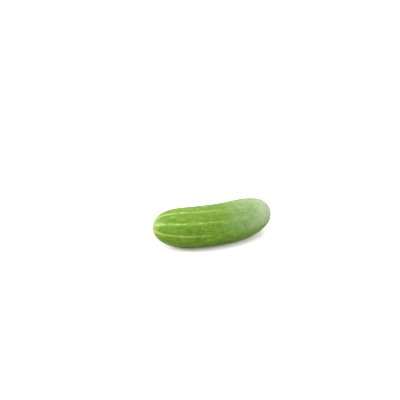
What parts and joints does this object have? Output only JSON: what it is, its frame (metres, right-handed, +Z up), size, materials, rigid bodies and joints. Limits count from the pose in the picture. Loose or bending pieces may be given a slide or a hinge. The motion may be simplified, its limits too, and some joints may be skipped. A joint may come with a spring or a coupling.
{
  "type": "cucumber",
  "caption": "Whole fresh field cucumber, short and bowed to one side with blunt round ends, for lying on a table, board, plate or shelf.",
  "frame": {"origin": "on the surface that the fruit lies on, under the middle of its box", "axes": "+X along the fruit towards the stem end, -X towards the blossom end, -Y towards the side that it bulges to, +Z up"},
  "size_m": [0.1372, 0.0506, 0.044],
  "materials": {
    "cucumber_skin": "waxy light-green skin with pale stripes, satin"
  },
  "bodies": {
    "root": {"cucumber": "cucumber_skin"}
  },
  "joints": []
}
